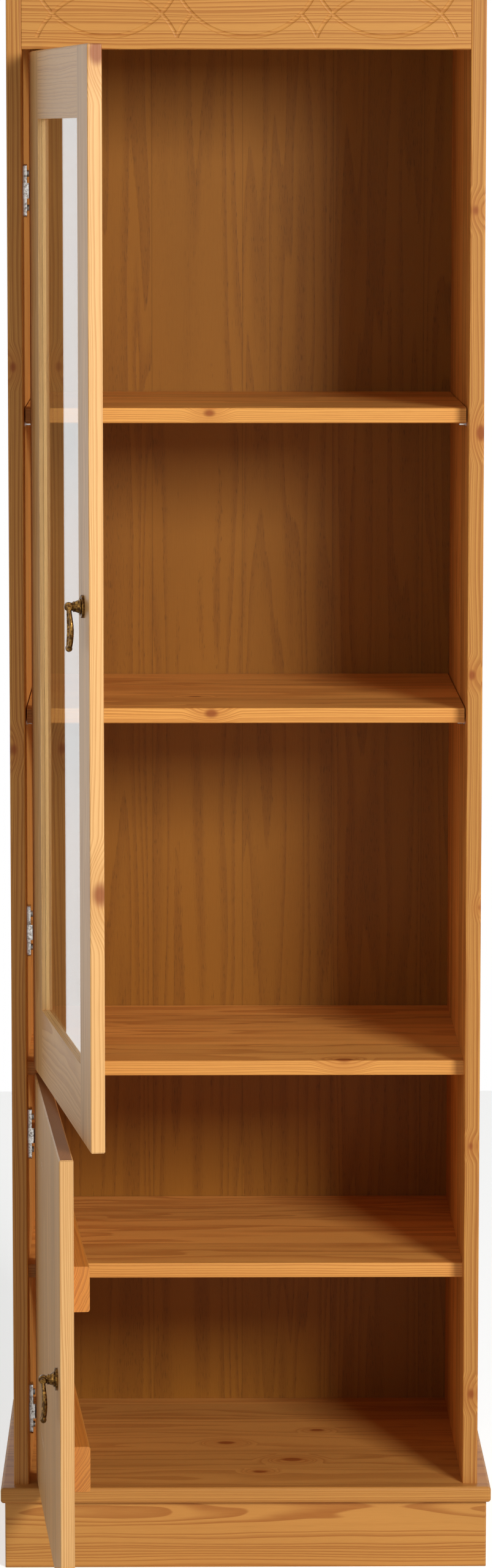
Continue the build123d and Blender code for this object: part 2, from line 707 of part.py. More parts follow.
def drop_handle(prefix, height, opening):
    """Writes one drop handle: rose, post with its knuckle, bail, pivot pin and fixing screw."""
    face = door_recess
    rose_front = face - rose_thickness
    with BuildPart() as rose:
        rods([(handle_x, face, height)], rose_radius, rose_thickness, (0, -1, 0))
        fillet(rose.edges().filter_by(GeomType.CIRCLE).sort_by(Axis.Y)[0], rose_thickness / 3)
        rods([(handle_x, face, height)], handle_screw_radius + dowel_gap, rose_thickness, (0, -1, 0), Mode.SUBTRACT)
    save(rose, f"{prefix}_handle_rose", opening)

    with BuildPart() as post:
        with BuildSketch(Plane.XZ.offset(-rose_front)):
            with Locations((handle_x, height)):
                Circle(post_base_radius)
        with BuildSketch(Plane.XZ.offset(-rose_front + post_length - knuckle_radius)):
            with Locations((handle_x, height)):
                Circle(post_neck_radius)
        loft()
        block(
            (handle_x - knuckle_width / 2, handle_x + knuckle_width / 2),
            (knuckle_y, rose_front - post_length / 3),
            (height - knuckle_radius, height + knuckle_radius),
        )
        knuckle_start = (handle_x - knuckle_width / 2, knuckle_y, height)
        rods([knuckle_start], knuckle_radius, knuckle_width, (1, 0, 0))
        rods([knuckle_start], bail_pin_radius + bail_gap, knuckle_width, (1, 0, 0), Mode.SUBTRACT)
        screw_reach = post_length / 2
        rods([(handle_x, rose_front, height)], handle_screw_radius + dowel_gap, screw_reach, (0, -1, 0), Mode.SUBTRACT)
    save(post, f"{prefix}_handle_post", opening)

    # The bail's two limbs hang from the pin beside the knuckle and close below it
    limb = knuckle_width / 2 + bail_side_gap + bail_eye_length / 2
    drop = height - bail_length + bail_wire_radius
    top_angle = degrees(acos(limb / bail_half_width))
    oval_height = (height - drop) / (1 + sin(radians(top_angle)))
    with BuildPart() as bail:
        with BuildLine(Plane.XZ.offset(-knuckle_y)) as loop:
            EllipticalCenterArc(
                (handle_x, drop + oval_height),
                bail_half_width,
                oval_height,
                start_angle=180 - top_angle,
                arc_size=180 + 2 * top_angle,
            )
        with BuildSketch(Plane(origin=loop.line @ 0, z_dir=loop.line % 0)):
            Circle(bail_wire_radius)
        sweep(path=loop.line)
        for radius, length in ((bail_bulb_radius, bail_bulb_length), (bail_shoulder_radius, bail_shoulder_length)):
            rods([(handle_x - length / 2, knuckle_y, drop)], radius, length, (1, 0, 0))
        for side in (-1, 1):
            eye = (handle_x + side * (knuckle_width / 2 + bail_side_gap), knuckle_y, height)
            rods([eye], bail_eye_radius, bail_eye_length, (side, 0, 0))
            rods([eye], bail_pin_radius + bail_gap, bail_eye_length, (side, 0, 0), Mode.SUBTRACT)
    save(bail, f"{prefix}_handle_bail", opening)

    pin_reach = knuckle_width / 2 + bail_side_gap + bail_eye_length
    with BuildPart() as pin:
        rods([(handle_x - pin_reach, knuckle_y, height)], bail_pin_radius, 2 * pin_reach, (1, 0, 0))
    save(pin, f"{prefix}_handle_pin", opening)

    with BuildPart() as screw:
        seat = (handle_x, door_inner_face, height)
        rods([seat], handle_screw_radius, door_thickness + rose_thickness + screw_reach - joint_gap, (0, -1, 0))
        rods([seat], handle_screw_head_radius, handle_screw_head_height, (0, 1, 0))
    save(screw, f"{prefix}_handle_screw", opening)


drop_handle("upper_door", upper_handle_z, upper_door_angle)
drop_handle("lower_door", lower_handle_z, lower_door_angle)
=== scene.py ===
"""Dresses the display cabinet: pine boards, an oak back, nickel hinges, brass drop handles and glass."""

from __future__ import annotations

import json
import logging
import math
from collections.abc import Callable, Iterable
from dataclasses import dataclass
from enum import Enum

import bpy
from mathutils import Matrix, Vector

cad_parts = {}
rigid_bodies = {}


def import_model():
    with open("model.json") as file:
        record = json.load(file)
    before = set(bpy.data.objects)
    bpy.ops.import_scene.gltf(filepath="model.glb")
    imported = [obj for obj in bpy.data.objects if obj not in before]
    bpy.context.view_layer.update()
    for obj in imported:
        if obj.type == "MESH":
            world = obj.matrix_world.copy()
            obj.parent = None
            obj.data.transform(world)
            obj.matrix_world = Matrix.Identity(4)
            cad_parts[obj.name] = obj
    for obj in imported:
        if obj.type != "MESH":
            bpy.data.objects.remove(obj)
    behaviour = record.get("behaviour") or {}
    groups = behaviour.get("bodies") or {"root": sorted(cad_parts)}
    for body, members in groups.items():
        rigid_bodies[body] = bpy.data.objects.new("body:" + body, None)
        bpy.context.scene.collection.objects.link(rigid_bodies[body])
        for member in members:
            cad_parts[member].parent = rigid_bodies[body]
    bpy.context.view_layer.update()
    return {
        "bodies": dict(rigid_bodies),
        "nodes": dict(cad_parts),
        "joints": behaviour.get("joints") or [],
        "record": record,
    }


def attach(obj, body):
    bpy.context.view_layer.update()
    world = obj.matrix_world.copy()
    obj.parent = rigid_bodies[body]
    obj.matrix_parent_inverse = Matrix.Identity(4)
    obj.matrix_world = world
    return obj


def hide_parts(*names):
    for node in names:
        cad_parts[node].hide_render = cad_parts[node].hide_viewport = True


LOG = logging.getLogger("display_cabinet")
MM = 0.001
FACING_OUT = (math.pi / 2, 0, 0)
LYING_ACROSS = (0, math.pi / 2, 0)
SMOOTH_BELOW = math.radians(35)
WHITE = "#FFFFFF"
Socket = bpy.types.NodeSocket


class Direction(Enum):
    """The three directions of the cabinet's frame, as the index of the coordinate."""

    X = 0
    Y = 1
    Z = 2


def srgb(code: str) -> tuple[float, float, float, float]:
    """Converts an sRGB hex colour to the linear values that shader sockets take.

    Args:
        code: six hex digits with a leading hash.

    Returns:
        Linear red, green, blue and a full alpha.
    """
    parts = [int(code[start : start + 2], 16) / 255 for start in (1, 3, 5)]
    linear = [part / 12.92 if part <= 0.04045 else ((part + 0.055) / 1.055) ** 2.4 for part in parts]
    return (*linear, 1.0)


class NodeBench:
    """The empty node tree of a new material or world, and the one way to add a node to it."""

    def __init__(self, owner: bpy.types.Material | bpy.types.World) -> None:
        """Clears the tree.

        Args:
            owner: the material or world.
        """
        owner.use_nodes = True
        self.tree = owner.node_tree
        self.tree.nodes.clear()

    def add(
        self, kind: str, inputs: dict | None = None, output: int | str = 0, **settings: object
    ) -> Socket | None:
        """Adds one node and links what feeds it.

        Args:
            kind: the node's type name without its ShaderNode prefix.
            inputs: numbers, colours or sockets, by the input's name or index.
            output: name or index of the output that is wanted.
            settings: properties of the node itself.

        Returns:
            The wanted output, or None where the node has no outputs.
        """
        node = self.tree.nodes.new("ShaderNode" + kind)
        for key, value in settings.items():
            setattr(node, key, value)
        for key, value in (inputs or {}).items():
            if isinstance(value, Socket):
                self.tree.links.new(value, node.inputs[key])
            else:
                node.inputs[key].default_value = value
        return node.outputs[output] if node.outputs else None


@dataclass(frozen=True)
class WoodColours:
    """The colours of one kind of wood: early wood, late wood and sawn ends."""

    light: str
    dark: str
    end: str


@dataclass(frozen=True)
class Knot:
    """A knot: its middle in millimetres, in the frame of the closed cabinet, and its radius."""

    x: float
    y: float
    z: float
    radius: float


PINE = WoodColours("#E3A152", "#B1672A", "#97521F")
DOOR_PINE = WoodColours("#E9B574", "#BF7F3C", "#7E3D18")
BATTEN_PINE = WoodColours("#CE8436", "#9C5720", "#8A4A1C")
OAK = WoodColours("#96611C", "#6A3B0F", "#4E2B10")
KNOT_DARK = "#4A1E0A"
KNOT_LIGHT = "#A5521F"

# Noise scales are in cells per millimetre: waves of the grain 45 mm wide, rings that crowd and spread
# over 11 mm, patches of deeper wood 80 mm wide, fibres 0.9 mm wide and pores 1.1 mm wide.
GRAIN_WAVES = {"Scale": 0.022, "Detail": 2.0, "Roughness": 0.45}
RING_YEARS = {"Scale": 0.09, "Detail": 2.0, "Roughness": 0.6}
DEEP_PATCHES = {"Scale": 0.012, "Detail": 3.0, "Roughness": 0.5}
FIBRES = {"Scale": 1.1, "Detail": 3.0, "Roughness": 0.6}
OPEN_PORES = {"Scale": 0.9, "Detail": 1.0, "Roughness": 0.5}

# How much shorter a pattern is made along the grain before it is drawn, so that it comes out drawn out.
FIBRE_SQUEEZE = 0.03
PORE_SQUEEZE = 0.09
KNOT_SQUEEZE = 0.62

# Chance moves a stave's pattern up to 900 mm along the trunk, sets the trunk's heart 0.2 to 0.8 of its width
# across, and sinks it up to 24 mm deeper than the finish says.
STAVE_SHIFT = 900.0
HEART_FIRST, HEART_RANGE = 0.2, 0.6
HEART_DEPTH_RANGE = 24.0

# Shares of one ring: late wood darkens from the first to the second and ends from the third to the fourth.
LATE_STARTS, LATE_FULL, LATE_FADES, LATE_ENDS = 0.25, 0.9, 0.93, 1.0
YEARS_PUSH = 5.0

# A knot's core and the wood that bends round it, in radii from its middle, and how far the rings bend.
CORE_EDGE, CORE_FULL = 1.25, 0.6
HALO_EDGE, HALO_FULL = 4.0, 0.8
KNOT_BEND = 1.6

# Glue seams: shares of a stave's width over which the line fades, and how dark it is.
SEAM_EDGE, SEAM_FULL, SEAM_SHADE = 0.009, 0.002, 0.2

# Brightness and depth of colour: what a noise of 0 gives, and what a noise of 1 adds to it.
PATCH_LOWEST, PATCH_RANGE = 0.85, 0.3
STREAK_LOWEST, STREAK_RANGE = -0.2, 0.44
LATE_LOWEST = 0.35
KNOT_RING_LOWEST, KNOT_RING_RANGE = 0.4, 0.5

# Noise values between which an open pore shows, and how much of each mark covers the wood under it.
PORE_EDGE, PORE_FULL = 0.58, 0.68
HALO_COVER, CORE_COVER, END_COVER = 0.3, 0.85, 0.8

# How squarely a face looks up or down before it counts as a sawn end.
END_EDGE, END_FULL = 0.8, 0.95

# Relief of late wood and fibres in equal parts, and the spread of roughness from fibre to fibre.
RELIEF_SHARE, RELIEF_STRENGTH, RELIEF_HEIGHT = 0.5, 0.25, 0.2
GLOSS_RANGE = 0.14

SIDE_EDGE_DEPTH = 3.0
SIDE_EDGE_KNOTS = (
    Knot(267.0, SIDE_EDGE_DEPTH, 1622.0, 5.5),
    Knot(275.0, SIDE_EDGE_DEPTH, 1363.0, 6.5),
    Knot(266.0, SIDE_EDGE_DEPTH, 1078.0, 4.5),
    Knot(276.0, SIDE_EDGE_DEPTH, 801.0, 3.5),
    Knot(268.0, SIDE_EDGE_DEPTH, 513.0, 4.0),
    Knot(270.0, SIDE_EDGE_DEPTH, 210.0, 5.0),
    Knot(-272.0, SIDE_EDGE_DEPTH, 1440.0, 5.0),
    Knot(-274.0, SIDE_EDGE_DEPTH, 990.0, 6.0),
)
SHELF_KNOTS = (
    Knot(-43.0, 30.0, 1385.0, 5.5),
    Knot(-41.0, 30.0, 1030.0, 6.0),
    Knot(118.0, 34.0, 612.0, 7.0),
    Knot(-60.0, 150.0, 1036.0, 5.0),
)
BASE_KNOTS = (
    Knot(-22.0, 190.0, 100.0, 7.0),
    Knot(58.0, 110.0, 100.0, 8.0),
    Knot(18.0, 55.0, 100.0, 5.0),
    Knot(92.0, 250.0, 100.0, 5.0),
)
STILE_KNOTS = (Knot(254.0, 12.0, 891.0, 11.0), Knot(254.0, 12.0, 1796.0, 9.0))


@dataclass(frozen=True)
class WoodFinish:
    """Oiled solid or veneered wood: growth rings that lie along each stave, with a faint satin shine."""

    name: str
    colours: WoodColours
    along: Direction
    across: Direction
    stave: float = 70.0
    ring: float = 3.4
    contrast: float = 0.75
    tone: float = 1.0
    tone_spread: float = 0.16
    wander: float = 13.0
    stretch: float = 0.14
    shine: float = 0.2
    heart_depth: float = 34.0
    pores: float = 0.0
    roughness: float = 0.42
    coat: float = 0.0
    turn: float = 0.0
    pivot: tuple[float, float] = (0.0, 0.0)
    knots: tuple[Knot, ...] = ()

    def build(self) -> bpy.types.Material:
        """Makes the material.

        Returns:
            The wood material.
        """
        material = bpy.data.materials.new(self.name)
        grain = WoodGrain(self, NodeBench(material))
        grain.lay_staves()
        grain.grow_rings()
        grain.set_knots()
        grain.split_years()
        colour = grain.with_end_grain(grain.with_knot_marks(grain.colour(grain.tone())))
        inputs = {"Base Color": colour, "Roughness": grain.gloss(), "Normal": grain.relief(), "IOR": 1.5}
        inputs |= {"Coat Weight": self.coat, "Coat Roughness": 0.28, "Specular IOR Level": self.shine}
        grain.bench.add("OutputMaterial", {"Surface": grain.bench.add("BsdfPrincipled", inputs)})
        return material


class WoodGrain:
    """The pattern of one wood finish, laid down in steps, with the sockets that later steps read."""

    def __init__(self, wood: WoodFinish, bench: NodeBench) -> None:
        """Reads the place on the closed cabinet, in millimetres, and splits it by the way of the grain.

        Args:
            wood: the finish.
            bench: the material's nodes.
        """
        self.wood = wood
        self.bench = bench
        self.core: float | Socket = 0.0
        self.halo: float | Socket = 0.0
        thick = next(way for way in Direction if way not in (wood.along, wood.across))
        metres = bench.add("TexCoord", output="Object")
        self.normal = metres.node.outputs["Normal"]
        millimetres = bench.add("VectorMath", {0: metres, 3: 1 / MM}, operation="SCALE")
        swung_shut = {"Vector": millimetres, "Center": (*wood.pivot, 0.0), "Angle": wood.turn}
        self.place = bench.add("VectorRotate", swung_shut, rotation_type="Z_AXIS")
        split = bench.add("SeparateXYZ", {0: self.place}).node.outputs
        self.along, self.across, self.deep = (split[way.value] for way in (wood.along, wood.across, thick))

    def lay_staves(self) -> None:
        """Divides the board into glued staves, each with three chance numbers and its own piece of trunk."""
        add = self.bench.add
        count = add("Math", {0: self.across, 1: self.wood.stave}, operation="DIVIDE")
        index = add("Math", {0: count}, operation="FLOOR")
        chance = add("TexWhiteNoise", {"W": index}, output="Color", noise_dimensions="1D")
        self.chances = add("SeparateColor", {0: chance}).node.outputs
        self.stave_share = add("Math", {0: count, 1: index}, operation="SUBTRACT")
        self.shift = add("Math", {0: self.chances[0], 1: STAVE_SHIFT}, operation="MULTIPLY")
        self.along = add("Math", {0: self.along, 1: self.shift}, operation="ADD")

    def drawn_out(self, squeeze: float) -> Socket:
        """Squeezes the place along the grain, so that a pattern read there comes out drawn out.

        Args:
            squeeze: how much shorter the way along the grain becomes.

        Returns:
            The squeezed place.
        """
        length = self.bench.add("Math", {0: self.along, 1: squeeze}, operation="MULTIPLY")
        return self.bench.add("CombineXYZ", {0: length, 1: self.across, 2: self.deep})

    def grow_rings(self) -> None:
        """Measures the distance from the trunk's heart, which wavers along the grain."""
        add = self.bench.add
        middle = add("Math", {0: self.chances[1], 1: HEART_RANGE, 2: HEART_FIRST}, operation="MULTIPLY_ADD")
        aside = add("Math", {0: self.stave_share, 1: middle}, operation="SUBTRACT")
        sideways = add("Math", {0: aside, 1: self.wood.stave}, operation="MULTIPLY")
        sunk = {0: self.chances[2], 1: HEART_DEPTH_RANGE, 2: self.wood.heart_depth}
        below = add("Math", {0: self.deep, 1: add("Math", sunk, operation="MULTIPLY_ADD")}, operation="ADD")
        from_heart = add("CombineXYZ", {0: sideways, 1: below})
        reach = add("VectorMath", {0: from_heart}, output="Value", operation="LENGTH")
        slow = self.drawn_out(self.wood.stretch)
        self.warp = add("TexNoise", {"Vector": slow, **GRAIN_WAVES})
        self.broad = add("TexNoise", {"Vector": slow, **DEEP_PATCHES})
        off_middle = add("Math", {0: self.warp, 1: 0.5}, operation="SUBTRACT")
        self.reach = add("Math", {0: off_middle, 1: self.wood.wander, 2: reach}, operation="MULTIPLY_ADD")

    def set_knots(self) -> None:
        """Bends the rings round each knot and marks its core and the wood about it."""
        add = self.bench.add
        squeeze = [KNOT_SQUEEZE if way is self.wood.along else 1.0 for way in Direction]
        for knot in self.wood.knots:
            size = knot.radius
            gap = add("VectorMath", {0: self.place, 1: (knot.x, knot.y, knot.z)}, operation="SUBTRACT")
            oval = add("VectorMath", {0: gap, 1: squeeze}, operation="MULTIPLY")
            far = add("VectorMath", {0: oval}, output="Value", operation="LENGTH")
            wobble = add("Math", {0: self.warp, 1: size, 2: -size / 2}, operation="MULTIPLY_ADD")
            far = add("Math", {0: far, 1: wobble}, operation="ADD")
            core = {0: far, 1: size * CORE_EDGE, 2: size * CORE_FULL}
            core = add("MapRange", core, interpolation_type="SMOOTHSTEP")
            halo = {0: far, 1: size * HALO_EDGE, 2: size * HALO_FULL}
            halo = add("MapRange", halo, interpolation_type="SMOOTHSTEP")
            self.core = add("Math", {0: self.core, 1: core}, operation="MAXIMUM")
            self.halo = add("Math", {0: self.halo, 1: halo}, operation="MAXIMUM")
            self.reach = add("Math", {0: halo, 1: size * KNOT_BEND, 2: self.reach}, operation="MULTIPLY_ADD")

    def split_years(self) -> None:
        """Splits the distance into uneven years, each with soft early wood and a dark late line."""
        add = self.bench.add
        years = add("TexNoise", {"Vector": add("CombineXYZ", {0: self.reach, 1: self.shift}), **RING_YEARS})
        push = {0: years, 1: self.wood.ring * YEARS_PUSH, 2: self.reach}
        uneven = add("Math", push, operation="MULTIPLY_ADD")
        year = add("Math", {0: uneven, 1: self.wood.ring}, operation="DIVIDE")
        self.phase = add("Math", {0: year}, operation="FRACT")
        darkens = {0: self.phase, 1: LATE_STARTS, 2: LATE_FULL}
        ends = {0: self.phase, 1: LATE_ENDS, 2: LATE_FADES}
        darkens = add("MapRange", darkens, interpolation_type="SMOOTHSTEP")
        ends = add("MapRange", ends, interpolation_type="SMOOTHSTEP")
        self.late = add("Math", {0: darkens, 1: ends}, operation="MULTIPLY")
        self.fibre = add("TexNoise", {"Vector": self.drawn_out(FIBRE_SQUEEZE), **FIBRES})

    def tone(self) -> Socket:
        """Works out how bright the wood is, by stave, patch, pore and glue seam.

        Returns:
            The brightness, 1 where the colours stay as they are.
        """
        add = self.bench.add
        spread = self.wood.tone_spread
        stave = {0: self.chances[0], 1: spread, 2: self.wood.tone - spread / 2}
        patch = add("Math", {0: self.broad, 1: PATCH_RANGE, 2: PATCH_LOWEST}, operation="MULTIPLY_ADD")
        tone = add("Math", {0: add("Math", stave, operation="MULTIPLY_ADD"), 1: patch}, operation="MULTIPLY")
        if self.wood.pores:
            dashes = add("TexNoise", {"Vector": self.drawn_out(PORE_SQUEEZE), **OPEN_PORES})
            specks = {0: dashes, 1: PORE_EDGE, 2: PORE_FULL}
            specks = add("MapRange", specks, interpolation_type="SMOOTHSTEP")
            specks = add("Math", {0: specks, 1: self.phase}, operation="MULTIPLY")
            shade = add("Math", {0: specks, 1: -self.wood.pores, 2: 1.0}, operation="MULTIPLY_ADD")
            tone = add("Math", {0: tone, 1: shade}, operation="MULTIPLY")
        other_edge = add("Math", {0: 1.0, 1: self.stave_share}, operation="SUBTRACT")
        edge = add("Math", {0: self.stave_share, 1: other_edge}, operation="MINIMUM")
        seam = add("MapRange", {0: edge, 1: SEAM_EDGE, 2: SEAM_FULL}, interpolation_type="SMOOTHSTEP")
        seam = add("Math", {0: seam, 1: -SEAM_SHADE, 2: 1.0}, operation="MULTIPLY_ADD")
        return add("Math", {0: tone, 1: seam}, operation="MULTIPLY")

    def colour(self, tone: Socket) -> Socket:
        """Mixes early and late wood, streaked by the fibres.

        Args:
            tone: how bright the wood is.

        Returns:
            The colour of clear wood.
        """
        add = self.bench.add
        contrast = {0: self.broad, 1: self.wood.contrast, 2: self.wood.contrast * LATE_LOWEST}
        depth = {0: self.late, 1: add("Math", contrast, operation="MULTIPLY_ADD")}
        streaks = add("Math", {0: self.fibre, 1: STREAK_RANGE, 2: STREAK_LOWEST}, operation="MULTIPLY_ADD")
        depth = add("Math", {0: add("Math", depth, operation="MULTIPLY"), 1: streaks}, operation="ADD")
        ends = {0: depth, 6: srgb(self.wood.colours.light), 7: srgb(self.wood.colours.dark)}
        mixed = add("Mix", ends, output=2, data_type="RGBA")
        return add("HueSaturation", {"Value": tone, "Color": mixed})

    def with_knot_marks(self, colour: Socket) -> Socket:
        """Darkens the wood about the knots and colours their cores.

        Args:
            colour: the colour of clear wood.

        Returns:
            The colour with the knots.
        """
        if not self.wood.knots:
            return colour
        add = self.bench.add
        about = add("Math", {0: self.halo, 1: HALO_COVER}, operation="MULTIPLY")
        about = {0: about, 6: colour, 7: srgb(self.wood.colours.dark)}
        colour = add("Mix", about, output=2, data_type="RGBA")
        rings = {0: self.fibre, 1: KNOT_RING_RANGE, 2: KNOT_RING_LOWEST}
        rings = add("Math", rings, operation="MULTIPLY_ADD")
        rings = {0: rings, 6: srgb(KNOT_DARK), 7: srgb(KNOT_LIGHT)}
        core = {
            0: add("Math", {0: self.core, 1: CORE_COVER}, operation="MULTIPLY"),
            6: colour,
            7: add("Mix", rings, output=2, data_type="RGBA"),
        }
        return add("Mix", core, output=2, data_type="RGBA")

    def with_end_grain(self, colour: Socket) -> Socket:
        """Darkens the sawn ends of boards that stand upright.

        Args:
            colour: the colour of the long faces.

        Returns:
            The colour of all faces.
        """
        if self.wood.along is not Direction.Z:
            return colour
        add = self.bench.add
        upward = add("SeparateXYZ", {0: self.normal}, output="Z")
        upward = add("Math", {0: upward}, operation="ABSOLUTE")
        share = add("MapRange", {0: upward, 1: END_EDGE, 2: END_FULL}, interpolation_type="SMOOTHSTEP")
        share = add("Math", {0: share, 1: END_COVER}, operation="MULTIPLY")
        return add("Mix", {0: share, 6: colour, 7: srgb(self.wood.colours.end)}, output=2, data_type="RGBA")

    def relief(self) -> Socket:
        """Raises the late wood and the fibres by a fraction of a millimetre.

        Returns:
            The bumped normal.
        """
        add = self.bench.add
        fibre = add("Math", {0: self.fibre, 1: RELIEF_SHARE}, operation="MULTIPLY")
        height = add("Math", {0: self.late, 1: RELIEF_SHARE, 2: fibre}, operation="MULTIPLY_ADD")
        return add("Bump", {"Strength": RELIEF_STRENGTH, "Distance": RELIEF_HEIGHT * MM, "Height": height})

    def gloss(self) -> Socket:
        """Varies the roughness a little from fibre to fibre.

        Returns:
            The roughness.
        """
        uneven = {0: self.fibre, 1: GLOSS_RANGE, 2: self.wood.roughness - GLOSS_RANGE / 2}
        return self.bench.add("Math", uneven, operation="MULTIPLY_ADD")


@dataclass(frozen=True)
class MetalFinish:
    """Bare or plated metal with cloudy patches, a few millimetres wide, of a second colour: dulled metal, and
    on the nickel painted dark reflections.
    """

    name: str
    bright: str
    dull_and_dark_reflection: str
    roughness: float
    patch_level: float = 0.5
    patch_softness: float = 0.15
    dull_roughness: float = 0.16
    cloud: float = 0.35

    def build(self) -> bpy.types.Material:
        """Makes the material.

        Returns:
            The metal material.
        """
        material = bpy.data.materials.new(self.name)
        add = NodeBench(material).add
        place = add("VectorMath", {0: add("TexCoord", output="Object"), 3: 1 / MM}, operation="SCALE")
        cloud = add("TexNoise", {"Vector": place, "Scale": self.cloud, "Detail": 4.0, "Roughness": 0.6})
        edges = {0: cloud, 1: self.patch_level - self.patch_softness, 2: self.patch_level + self.patch_softness}
        share = add("MapRange", edges, interpolation_type="SMOOTHSTEP")
        # the patches take the second colour: brown patina on the brass, dulled zinc, and painted dark
        # reflections on the nickel
        colour = {0: share, 6: srgb(self.bright), 7: srgb(self.dull_and_dark_reflection)}
        colour = add("Mix", colour, output=2, data_type="RGBA")
        rough = {0: share, 1: self.dull_roughness, 2: self.roughness}
        rough = add("Math", rough, operation="MULTIPLY_ADD")
        surface = add("BsdfPrincipled", {"Base Color": colour, "Metallic": 1.0, "Roughness": rough})
        add("OutputMaterial", {"Surface": surface})
        return material


@dataclass(frozen=True)
class GlassFinish:
    """Clear polished window glass, which shows what is behind it and mirrors the pale room."""

    name: str
    tint: str = "#F6FBF9"

    def build(self) -> bpy.types.Material:
        """Makes the material.

        Returns:
            The glass material.
        """
        material = bpy.data.materials.new(self.name)
        add = NodeBench(material).add
        inputs = {"Base Color": srgb(self.tint), "Roughness": 0.0, "IOR": 1.52, "Transmission Weight": 1.0}
        add("OutputMaterial", {"Surface": add("BsdfPrincipled", inputs)})
        return material


@dataclass(frozen=True)
class PaperFinish:
    """Matt backdrop paper, made brighter to the camera alone."""

    name: str
    colour: str
    roughness: float = 0.8
    glow: float = 0.6

    def build(self) -> bpy.types.Material:
        """Makes the material.

        Returns:
            The paper material.
        """
        material = bpy.data.materials.new(self.name)
        add = NodeBench(material).add
        seen = add("LightPath", output="Is Camera Ray")
        seen = add("Math", {0: seen, 1: self.glow}, operation="MULTIPLY")
        inputs = {"Base Color": srgb(self.colour), "Roughness": self.roughness}
        inputs |= {"Emission Color": srgb(self.colour), "Emission Strength": seen}
        add("OutputMaterial", {"Surface": add("BsdfPrincipled", inputs)})
        return material


def give(frame: dict, names: Iterable[str], material: bpy.types.Material) -> None:
    """Gives CAD nodes a finish.

    Args:
        names: names of the nodes.
        material: the finish.
    """
    for name in names:
        slots = frame["nodes"][name].data.materials
        slots.clear()
        slots.append(material)


def deselect() -> None:
    """Leaves edit mode and selects nothing."""
    if bpy.context.object and bpy.context.object.mode != "OBJECT":
        bpy.ops.object.mode_set(mode="OBJECT")
    bpy.ops.object.select_all(action="DESELECT")


def activate(piece: bpy.types.Object) -> None:
    """Selects one object alone.

    Args:
        piece: the object.
    """
    deselect()
    piece.select_set(True)
    bpy.context.view_layer.objects.active = piece


def apply_place() -> bpy.types.Object:
    """Puts the active object's place, turn and size into its mesh.

    Returns:
        The object.
    """
    bpy.ops.object.transform_apply(location=True, rotation=True, scale=True)
    return bpy.context.object


def started(primitive: Callable[..., set], **sizes: object) -> bpy.types.Object:
    """Starts a piece from a primitive at its size and place.

    Args:
        primitive: the operator that adds it.
        sizes: the operator's arguments.

    Returns:
        The new object.
    """
    deselect()
    primitive(**sizes)
    return apply_place()


def bevelled(piece: bpy.types.Object, width: float, segments: int = 3) -> bpy.types.Object:
    """Rounds the sharp edges of a piece.

    Args:
        piece: the object.
        width: width of the rounding, in millimetres.
        segments: number of steps in it.

    Returns:
        The same object.
    """
    activate(piece)
    modifier = piece.modifiers.new("rounding", "BEVEL")
    modifier.width = width * MM
    modifier.segments = segments
    modifier.limit_method = "ANGLE"
    bpy.ops.object.modifier_apply(modifier=modifier.name)
    return piece


def pick_end(piece: bpy.types.Object, toward: Vector) -> None:
    """Enters edit mode with only the faces selected that lie furthest in one direction.

    Args:
        piece: the object.
        toward: the direction.
    """
    activate(piece)
    bpy.ops.object.mode_set(mode="EDIT")
    bpy.ops.mesh.select_mode(type="FACE")
    bpy.ops.mesh.select_all(action="DESELECT")
    bpy.ops.object.mode_set(mode="OBJECT")
    slack, squarely = 0.01 * MM, 0.9
    furthest = max(face.center.dot(toward) for face in piece.data.polygons)
    for face in piece.data.polygons:
        outermost = face.center.dot(toward) > furthest - slack
        face.select = outermost and face.normal.dot(toward) > squarely
    bpy.ops.object.mode_set(mode="EDIT")


def cross_rod(
    radius: float, length: float, centre: tuple[float, float, float], sides: int = 40
) -> bpy.types.Object:
    """Adds a cylinder that lies along the X direction.

    Args:
        radius: its radius, in millimetres.
        length: its length, in millimetres.
        centre: its middle, in millimetres.
        sides: number of sides.

    Returns:
        The new object.
    """
    return started(
        bpy.ops.mesh.primitive_cylinder_add, vertices=sides, radius=radius * MM, depth=length * MM,
        location=[value * MM for value in centre], rotation=LYING_ACROSS,
    )  # fmt: skip


def joined(name: str, parts: list[bpy.types.Object]) -> bpy.types.Object:
    """Joins parts into one smooth-shaded object.

    Args:
        name: the object's name.
        parts: what it is made of.

    Returns:
        The joined object.
    """
    deselect()
    for part in parts:
        part.select_set(True)
    bpy.context.view_layer.objects.active = parts[0]
    bpy.ops.object.join()
    piece = bpy.context.object
    piece.name = name
    bpy.ops.object.shade_smooth_by_angle(angle=SMOOTH_BELOW)
    return piece


@dataclass(frozen=True)
class Ring:
    """A turned ring in millimetres: its radius, a bead's own radius or a collar's length, and its place."""

    radius: float
    size: float
    place: float


